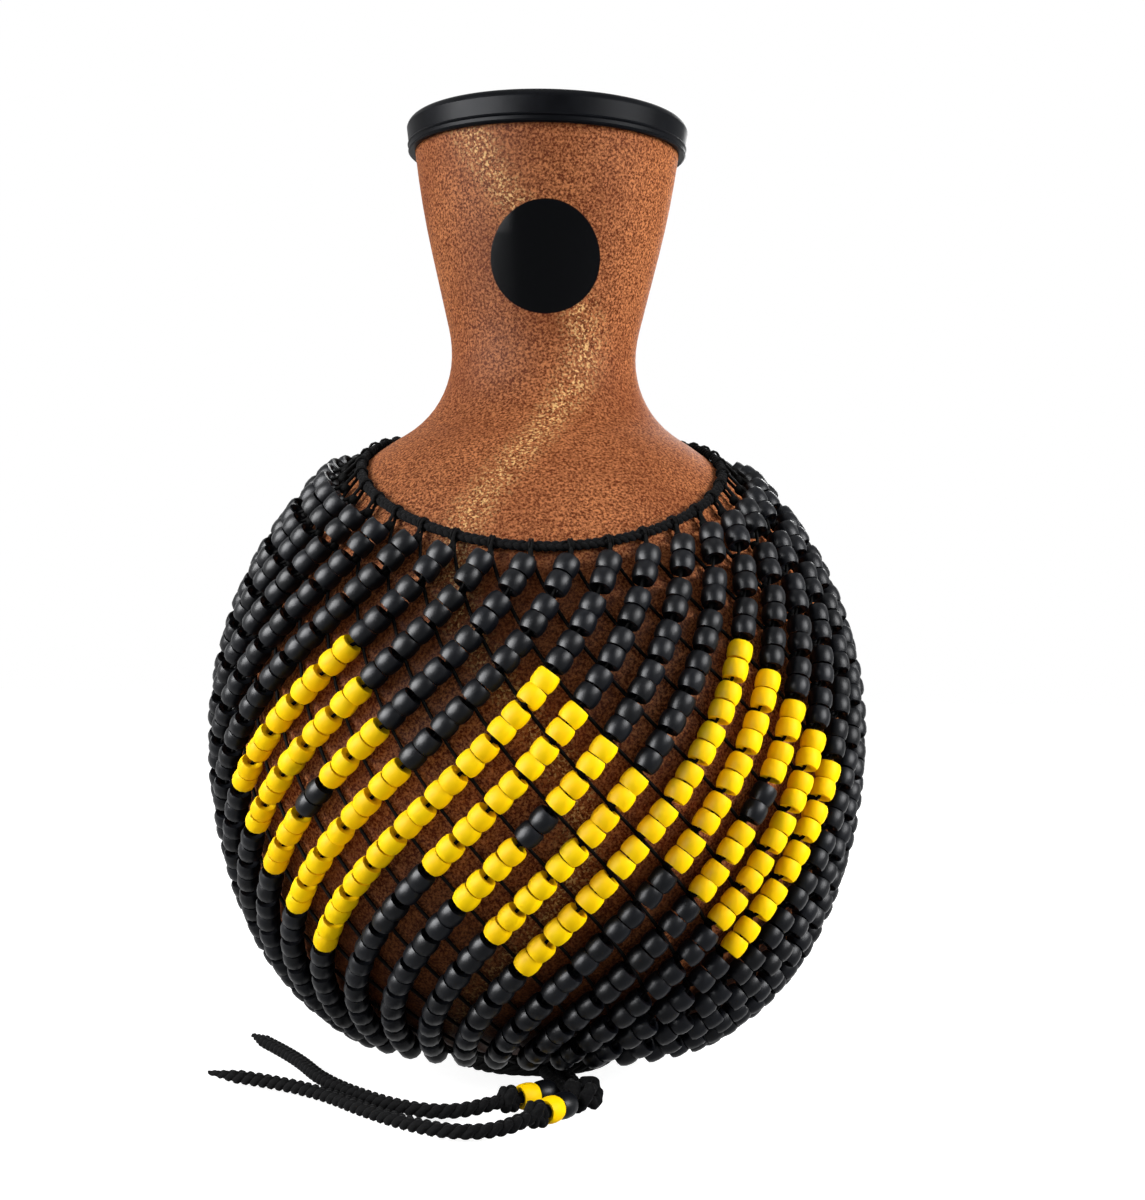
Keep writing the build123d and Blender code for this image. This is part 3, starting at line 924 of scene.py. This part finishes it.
@dataclass
class BeadNet:
    """Two families of knotted twine with beads on the legs that run down to the left, in millimetres."""

    form: GourdForm
    bead: BeadShape
    bead_lift: float = 5.45
    bead_play: float = 0.4
    tilt: float = 0.06
    twine: float = 1.2
    knot_lift: float = 3.1
    plain_lift: float = 1.8
    knot_size: float = 1.5
    knot_stretch: tuple[float, float, float] = (1.2, 0.95, 1.35)
    knot_sides: int = 7
    knot_rings: int = 5
    first_column: float = 0.75
    half_leg: float = 0.25
    lozenge_columns: tuple[int, ...] = (-4, 0, 4)
    lozenge_row: int = 7
    lozenge_rings: tuple[int, ...] = (1, 2)
    plain_climb: float = 45.0
    beaded_climb: float = 22.5

    def build(self) -> None:
        """Build the beads, the twine and its knots."""
        self.build_beads()
        self.build_twine()
        self.build_knots()

    def is_yellow(self, row: int, column: float) -> bool:
        """Whether a leg is in the chain of open yellow lozenges across the front.

        Args:
            row: the leg's row.
            column: middle of the leg, round the gourd.

        Returns:
            True for yellow beads.
        """
        half = self.form.columns / 2
        offset = (column + half) % self.form.columns - half
        for middle in self.lozenge_columns:
            across = abs(2 * (offset - middle))
            ring = (abs(row - self.lozenge_row) + across) / 2
            if round(ring) in self.lozenge_rings:
                return True
        return False

    def leg(self, row: int, column: float) -> tuple[Vector, Vector]:
        """Upper and lower end of a beaded leg, at the beads' own lift."""
        upper = self.form.knot(column + self.half_leg, row, self.bead_lift)
        return upper, self.form.knot(column - self.half_leg, row + 1, self.bead_lift)

    def build_beads(self) -> None:
        """Build the beads row by row and colour by colour."""
        shape = self.bead.mesh()
        dice = Random(SEED)
        rows: dict[tuple[int, Colour], list[Matrix]] = {}
        apart = (self.bead.length + self.bead_play) / 2 * MM
        for row in range(self.form.rows):
            for number in range(self.form.columns):
                column = number + (0.5 if row % 2 == 0 else 0.0)
                colour = Colour.YELLOW if self.is_yellow(row, column) else Colour.BLACK
                upper, lower = self.leg(row, column)
                along = (lower - upper).normalized()
                middle = (upper + lower) / 2
                for side in (-apart, apart):
                    lean = Vector([dice.uniform(-self.tilt, self.tilt) for _ in range(3)])
                    out = Vector((middle.x, middle.y, 0.0))
                    place = frame_at(middle + along * side, along + lean, out)
                    rows.setdefault((row, colour), []).append(place)
        for (row, colour), places in rows.items():
            label = f"{row + 1:02d}_{colour.value}"
            mesh = stamped(shape, places)
            made = piece(f"beads_{label}", mesh, BEADS[colour], Body.NET, [f"bead_row_{label}"])
            tint(made, shape, dice)

    def strand_top(self, point: Vector, lift: float) -> Vector:
        """Where a strand meets the collar.

        Args:
            point: the strand's first knot, straight below.
            lift: off the wall.

        Returns:
            The point, in metres.
        """
        angle = atan2(point.x, -point.y)
        drop = self.form.collar_cord / 2
        return self.form.on_wall(angle, self.form.collar_distance(angle) - drop, lift)

    def plain_route(self, number: int) -> list[Vector]:
        """Route of a bare strand that runs down to the right.

        Args:
            number: the strand's column at the collar.

        Returns:
            Control points, in metres.
        """
        form = self.form
        start = number + self.first_column
        knots = [form.knot(start + row / 2, row, self.plain_lift) for row in range(form.rows + 1)]
        angle = atan2(knots[-1].x, -knots[-1].y)
        bare = form.on_wall(angle, form.foot_distance + form.net_bare_end / 2, self.plain_lift)
        end = form.hem_point(angle, self.plain_climb, self.twine / 2)
        return [self.strand_top(knots[0], form.collar_cord / 2)] + knots + [bare, end]

    def beaded_route(self, number: int) -> list[Vector]:
        """Route of a strand that dips to each knot and runs through the beads between them.

        Args:
            number: the strand's column at the collar.

        Returns:
            Control points, in metres.
        """
        form = self.form
        start = number + self.first_column
        first = form.knot(start, 0, self.knot_lift)
        points = [self.strand_top(first, form.collar_cord), first]
        reach = (self.bead.length + self.bead_play / 2) * MM
        for row in range(form.rows):
            upper, lower = self.leg(row, start - row / 2 - self.half_leg)
            along = (lower - upper).normalized()
            middle = (upper + lower) / 2
            points += [middle - along * reach, middle + along * reach]
            points.append(form.knot(start - (row + 1) / 2, row + 1, self.knot_lift))
        angle = atan2(points[-1].x, -points[-1].y)
        return points + [form.hem_point(angle, self.beaded_climb, self.twine / 2)]

    def build_twine(self) -> None:
        """Build both families of strands."""
        radius = self.twine / 2 * MM
        numbers = range(self.form.columns)
        routes = [self.plain_route(number) for number in numbers]
        mesh = tubes(routes, radius, ring_rise=1, resolution=2)
        piece("net_plain_twine", mesh, TWINE, Body.NET, ["plain_twine"])
        routes = [self.beaded_route(number) for number in numbers]
        mesh = tubes(routes, radius, ring_rise=1, resolution=2)
        piece("net_beaded_twine", mesh, TWINE, Body.NET, ["beaded_twine"])

    def build_knots(self) -> None:
        """Tie a small knot at each crossing."""
        work = bmesh.new()
        radius = self.knot_size * MM
        bmesh.ops.create_uvsphere(work, u_segments=self.knot_sides, v_segments=self.knot_rings, radius=radius)
        shape = saved(work)
        form = self.form
        places = []
        stretch = Matrix.Diagonal((*self.knot_stretch, 1.0))
        lift = (self.knot_lift + self.plain_lift) / 2
        for number in range(form.columns):
            for row in range(form.rows + 1):
                column = number + self.first_column - row / 2
                place = form.knot(column, row, lift)
                out = form.knot(column, row, lift + 1.0) - place
                side = form.knot(column + self.half_leg, row, lift) - place
                places.append(frame_at(place, out.cross(side), out) @ stretch)
        piece("net_knots", stamped(shape, places), TWINE, Body.NET)


@dataclass
class Collar:
    """Plaited cord round the shoulder, with the strands hitched to it, in millimetres."""

    form: GourdForm
    net: BeadNet
    plait: Plait = Plait(strand=1.9, sway=0.95, dive=0.7, period=8.0)
    points: int = 72
    path_steps: int = 8
    open_degrees: float = 4.0
    hitch_twine: float = 0.85
    hitch_apart: float = 0.9
    hitch_fit: float = 1.06
    hitch_nudge: float = 0.01
    whip_count: int = 7
    whip_twine: float = 1.25
    whip_fit: float = 0.9
    ring_sides: int = 6
    ring_steps: int = 10

    def build(self) -> None:
        """Build the cord, its whipping and the hitches."""
        reach = pi - radians(self.open_degrees)
        angles = [reach * (2 * step / self.points - 1) for step in range(self.points + 1)]
        route = [self.form.collar_point(angle) for angle in angles]
        path = centre_line([route], self.path_steps)
        outs = [self.form.wall_out(atan2(point.x, -point.y)) for point in path]
        piece("collar_braid", self.plait.mesh(path, outs), CORD, Body.NET, ["collar_cord"])
        self.build_whipping(angles[0], angles[-1])
        self.build_hitches()

    def ring(self, width: float, twine: float) -> bpy.types.Mesh:
        """Ring of twine about Z.

        Args:
            width: its inner width.
            twine: thickness of the twine.

        Returns:
            The ring's mesh, in metres.
        """
        middle = (width + twine) / 2
        outline = []
        for step in range(self.ring_sides):
            angle = 2 * pi * step / self.ring_sides
            outline.append((middle + twine / 2 * cos(angle), twine / 2 * sin(angle)))
        return spun(outline, self.ring_steps)

    def build_whipping(self, start: float, end: float) -> None:
        """Wrap twine round the place where the collar's ends meet at the back.

        Args:
            start: angle of the collar's first end.
            end: angle of its last end.
        """
        first = self.form.collar_point(end)
        last = self.form.collar_point(start)
        along = last - first
        shape = self.ring(self.form.collar_cord * self.whip_fit, self.whip_twine)
        places = []
        for number in range(self.whip_count):
            share = (number + 0.5) / self.whip_count
            places.append(frame_at(first + along * share, along, Vector((0.0, 1.0, 0.0))))
        mesh = stamped(shape, places)
        piece("collar_whipping", mesh, CORD, Body.NET, ["collar_knot"])

    def build_hitches(self) -> None:
        """Loop each strand of the net over the collar."""
        shape = self.ring(self.form.collar_cord * self.hitch_fit, self.hitch_twine)
        places = []
        for number in range(self.form.columns):
            knot = self.form.knot(number + self.net.first_column, 0, self.net.knot_lift)
            angle = atan2(knot.x, -knot.y)
            middle = self.form.collar_point(angle)
            along = (self.form.collar_point(angle + self.hitch_nudge) - middle).normalized()
            for side in (-0.5, 0.5):
                place = middle + along * side * self.hitch_apart * MM
                places.append(frame_at(place, along, UP))
        piece("collar_hitches", stamped(shape, places), TWINE, Body.NET)


@dataclass
class Hem:
    """Gathered lower edge of the net: twine laid round and round in a roll, in millimetres."""

    form: GourdForm
    strands: int = 7
    strand_radius: float = 1.45
    lay_radius: float = 2.45
    turns: int = 5
    points: int = 70

    def build(self) -> None:
        """Lay each strand in a slow helix round the roll."""
        middle = self.form.hem_thick / 2 - self.form.hem_flat
        routes = []
        for strand in range(self.strands):
            route = []
            for step in range(self.points):
                angle = 2 * pi * step / self.points
                turn = self.turns * angle + 2 * pi * strand / self.strands
                radius = self.form.hem_radius + self.lay_radius * cos(turn)
                height = middle + self.lay_radius * sin(turn)
                route.append(Vector((radius * sin(angle), -radius * cos(angle), height)) * MM)
            routes.append(route)
        mesh = tubes(routes, self.strand_radius * MM, ring_rise=1, resolution=2, cyclic=True)
        piece("hem_gathers", mesh, TWINE, Body.NET, ["hem_roll"])


@dataclass(frozen=True)
class TailPlan:
    """One loose end of the drawstring: its start, heading, route and real length, in millimetres."""

    side: str
    start: tuple[float, float, float]
    heading: tuple[float, float]
    route: tuple[tuple[float, float, float], ...]
    length: float


TAILS = (
    TailPlan(
        "left",
        (7.8, -66.4, 4.9),
        (-0.8, -0.6),
        (
            (-21.0, -85.6, 3.2),
            (-31.0, -86.5, 2.8),
            (-42.0, -81.5, 2.8),
            (-53.0, -71.5, 2.8),
            (-64.0, -58.0, 2.8),
            (-74.0, -42.0, 2.8),
            (-82.0, -22.0, 2.8),
            (-92.0, -3.0, 2.8),
            (-103.0, 16.0, 2.8),
        ),
        181.0,
    ),
    TailPlan(
        "right",
        (13.1, -80.9, 4.9),
        (-0.6, -0.8),
        (
            (-8.5, -107.0, 3.2),
            (-19.0, -110.5, 2.8),
            (-31.0, -107.0, 2.8),
            (-43.0, -97.0, 2.8),
            (-55.0, -84.0, 2.8),
            (-66.0, -69.0, 2.8),
            (-78.0, -57.5, 2.8),
            (-92.0, -48.0, 2.8),
            (-107.0, -40.5, 2.8),
        ),
        168.9,
    ),
)


@dataclass
class Drawstring:
    """Leads from the hem, the knot, and two tails with their beads and stop knots, in millimetres."""

    form: GourdForm
    bead: BeadShape
    cord: float = 5.2
    braid: Braid = Braid(pitch=3.7, lobes=2, depth=0.16)
    plait: Plait = Plait(strand=2.9, sway=1.35, dive=1.0, period=11.0, tip_length=13.0, tip_share=0.32)
    path_steps: int = 16
    lead_spacing: float = 5.8
    knot_centre: tuple[float, float] = (17.0, -71.0)
    lead_end: float = 65.0
    lead_widths: tuple[tuple[float, float], ...] = ((0.0, 1.0), (0.35, 1.1), (0.7, 0.9), (1.0, 0.5))
    knot_radius: float = 2.4
    knot_points: int = 36
    black_at: float = 4.9
    yellow_at: float = 11.8
    stop_at: float = 19.4
    stop_length: float = 8.0
    stop_radius: float = 1.9
    tip_length: float = 6.0

    def build(self) -> None:
        """Build the leads, the knot and both tails."""
        self.build_leads()
        low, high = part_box("drawstring_knot")
        mesh = self.tangle(Vector(low), Vector(high), self.knot_radius)
        piece("drawstring_tied_knot", mesh, CORD, Body.NET, ["drawstring_knot"])
        for plan in TAILS:
            self.build_tail(plan)

    def build_leads(self) -> None:
        """Two short cords that lie side by side from the hem to the knot."""
        x, y = self.knot_centre
        out = Vector((x, y, 0.0)).normalized()
        side = Vector((-out.y, out.x, 0.0))
        start = self.form.hem_radius + self.form.hem_thick / 2
        height = self.cord / 2 + self.form.seat_gap
        routes = []
        for offset in (-self.lead_spacing / 2, self.lead_spacing / 2):
            route = []
            for share, width in self.lead_widths:
                place = out * (start + (self.lead_end - start) * share) + side * offset * width
                route.append((place + UP * height) * MM)
            routes.append(route)
        mesh = tubes(routes, self.cord / 2 * MM, ring_rise=4, resolution=10, shape=self.braid.factor)
        piece("drawstring_lead_cords", mesh, CORD, Body.NET, ["drawstring_leads"])

    def tangle(self, low: Vector, high: Vector, radius: float) -> bpy.types.Mesh:
        """Overhand knot of cord that fills a box.

        Args:
            low: lowest corner, in metres.
            high: highest corner, in metres.
            radius: the cord's radius in millimetres.

        Returns:
            The knot's mesh.
        """
        middle = (low + high) / 2
        room = [(high[axis] - low[axis]) / 2 - radius * MM for axis in range(3)]
        route = []
        for step in range(self.knot_points):
            turn = 2 * pi * step / self.knot_points
            x = (sin(turn) + 2 * sin(2 * turn)) / 3
            y = (cos(turn) - 2 * cos(2 * turn)) / 3
            route.append(middle + Vector((x * room[0], y * room[1], -sin(3 * turn) * room[2])))
        bend = self.braid.factor
        return tubes([route], radius * MM, ring_rise=4, resolution=8, cyclic=True, shape=bend)

    def build_tail(self, plan: TailPlan) -> None:
        """Args:
            plan: the tail's route.
        """
        start = Vector(plan.start) * MM
        heading = Vector((*plan.heading, 0.0)).normalized()
        straight = start + heading * (self.stop_at + self.stop_length / 2) * MM
        route = [start, straight] + [Vector(point) * MM for point in plan.route]
        end = route[-1] + (route[-1] - route[-2]).normalized() * self.tip_length * MM
        route.append(end)
        path = centre_line([route], self.path_steps)
        mesh = self.plait.mesh(path, [UP] * len(path))
        name = f"tail_{plan.side}"
        made = piece(f"{name}_cord", mesh, CORD, Body.NET, [name])
        bead = self.bead.mesh()
        dice = Random(SEED)
        for colour, distance in ((Colour.BLACK, self.black_at), (Colour.YELLOW, self.yellow_at)):
            place = frame_at(start + heading * distance * MM, heading, UP)
            slot = f"{colour.value}_bead"
            node = f"{name}_{slot}"
            mesh = stamped(bead, [place])
            threaded = piece(f"{node}_moulded", mesh, BEADS[colour], Body.NET, [node])
            tint(threaded, bead, dice)
        low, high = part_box(f"{name}_stop_knot")
        mesh = self.tangle(Vector(low), Vector(high), self.stop_radius)
        piece(f"{name}_tied_stop", mesh, CORD, Body.NET, [f"{name}_stop_knot"])


@dataclass(frozen=True)
class Lamp:
    """Square soft lamp, in metres and watts, which may show in gloss alone as a reflector card does."""

    name: str
    place: tuple[float, float, float]
    size: float
    power: float
    gloss_only: bool = False


@dataclass
class Studio:
    """White floor and surroundings, soft lamps and the camera at the photograph's viewpoint, in metres."""

    focal_px: float = 1897.0
    width_px: float = 1145.0
    sensor_mm: float = 36.0
    eye: tuple[float, float, float] = (0.0, -0.7, 0.164)
    aim_right_px: float = 32.5
    aim_up_px: float = 14.0
    roll_degrees: float = 0.9
    ambient: float = 0.25
    floor_lift: float = 0.92
    floor_width: float = 6.0
    floor_drop: float = 0.0005
    floor_colour: str = "#a8a8a8"
    lamps: tuple[Lamp, ...] = (
        Lamp("left_softbox", (-1.1, -0.45, 0.55), 0.55, 16.5),
        Lamp("right_softbox", (1.12, -0.36, 0.55), 0.55, 21.8),
        Lamp("top_softbox", (0.0, -0.15, 1.25), 0.6, 2.0),
        Lamp("back_softbox", (0.25, 1.2, 0.6), 0.6, 9.0),
        Lamp("left_gloss_card", (-1.15, -0.7, 0.45), 1.3, 280.0, gloss_only=True),
        Lamp("right_gloss_card", (0.95, -0.65, 0.7), 0.75, 60.0, gloss_only=True),
    )
    target: tuple[float, float, float] = (0.0, 0.0, 0.16)

    def build(self) -> None:
        """Set up the whole studio."""
        bpy.context.scene.view_settings.view_transform = "Standard"
        self.build_world()
        self.build_floor()
        for lamp in self.lamps:
            self.build_lamp(lamp)
        self.build_camera()

    def seen(self, tree: bpy.types.NodeTree) -> Any:
        """Socket that is 1 for what the camera, a gloss or a clear body sees.

        Args:
            tree: nodes of the world or a material.

        Returns:
            The output socket.
        """
        light = add(tree, "ShaderNodeLightPath")
        rays = [light.outputs[f"Is {kind} Ray"] for kind in ("Camera", "Glossy", "Transmission")]
        both = add(tree, "ShaderNodeMath", {0: rays[0], 1: rays[1]}, operation="MAXIMUM")
        return add(tree, "ShaderNodeMath", {0: both.outputs[0], 1: rays[2]}, operation="MAXIMUM").outputs[0]

    def build_world(self) -> None:
        """White to the eye, and a softer even light on the object."""
        world = bpy.data.worlds.new("white_surround")
        world.use_nodes = True
        tree = world.node_tree
        back = tree.nodes["Background"]
        back.inputs["Color"].default_value = (1.0, 1.0, 1.0, 1.0)
        level = add(tree, "ShaderNodeMapRange", {0: self.seen(tree), 3: self.ambient, 4: 1.0})
        tree.links.new(level.outputs[0], back.inputs["Strength"])
        bpy.context.scene.world = world

    def build_floor(self) -> None:
        """White floor that keeps a soft shadow."""
        work = bmesh.new()
        bmesh.ops.create_grid(work, x_segments=1, y_segments=1, size=self.floor_width / 2)
        mesh = saved(work)
        material = bpy.data.materials.new("white_paper_floor")
        material.use_nodes = True
        tree = material.node_tree
        paper = add(tree, "ShaderNodeBsdfDiffuse", {"Color": linear(self.floor_colour)})
        level = add(tree, "ShaderNodeMath", {0: self.seen(tree), 1: self.floor_lift}, operation="MULTIPLY")
        glow = add(tree, "ShaderNodeEmission", {"Strength": level.outputs[0]})
        both = add(tree, "ShaderNodeAddShader", {0: paper.outputs[0], 1: glow.outputs[0]})
        tree.links.new(both.outputs[0], tree.nodes["Material Output"].inputs["Surface"])
        mesh.materials.append(material)
        floor = bpy.data.objects.new("floor", mesh)
        floor.location.z = -self.floor_drop
        bpy.context.scene.collection.objects.link(floor)

    def build_lamp(self, lamp: Lamp) -> None:
        """Put up a lamp that faces the object.

        Args:
            lamp: where it stands and how strong it is.
        """
        light = bpy.data.lights.new(lamp.name, "AREA")
        light.size = lamp.size
        light.energy = lamp.power
        made = bpy.data.objects.new(lamp.name, light)
        made.location = lamp.place
        made.rotation_euler = (Vector(self.target) - made.location).to_track_quat("-Z", "Y").to_euler()
        made.visible_diffuse = not lamp.gloss_only
        bpy.context.scene.collection.objects.link(made)

    def build_camera(self) -> None:
        """Camera at the photograph's viewpoint."""
        lens = bpy.data.cameras.new("camera")
        lens.sensor_fit = "HORIZONTAL"
        lens.sensor_width = self.sensor_mm
        lens.lens = self.sensor_mm * self.focal_px / self.width_px
        camera = bpy.data.objects.new("camera", lens)
        camera.location = self.eye
        aim = Vector((self.aim_right_px, self.focal_px, self.aim_up_px)).normalized()
        turn = aim.to_track_quat("-Z", "Y").to_matrix() @ Matrix.Rotation(radians(self.roll_degrees), 3, "Z")
        camera.rotation_euler = turn.to_euler()
        bpy.context.scene.collection.objects.link(camera)
        bpy.context.scene.camera = camera


def main() -> None:
    """Build every sub-assembly and the studio."""
    form = GourdForm()
    Studio().build()
    Drawstring(form, BeadShape(outer=8.8, bore=5.4, length=6.6, steps=24)).build()
    Gourd({"shell": FIBREGLASS, "mouth_edging": RUBBER}).build()
    net = BeadNet(form, BeadShape(outer=8.4, bore=3.4, length=6.1))
    net.build()
    Collar(form, net).build()
    Hem(form).build()


if __name__ == "__main__":
    main()
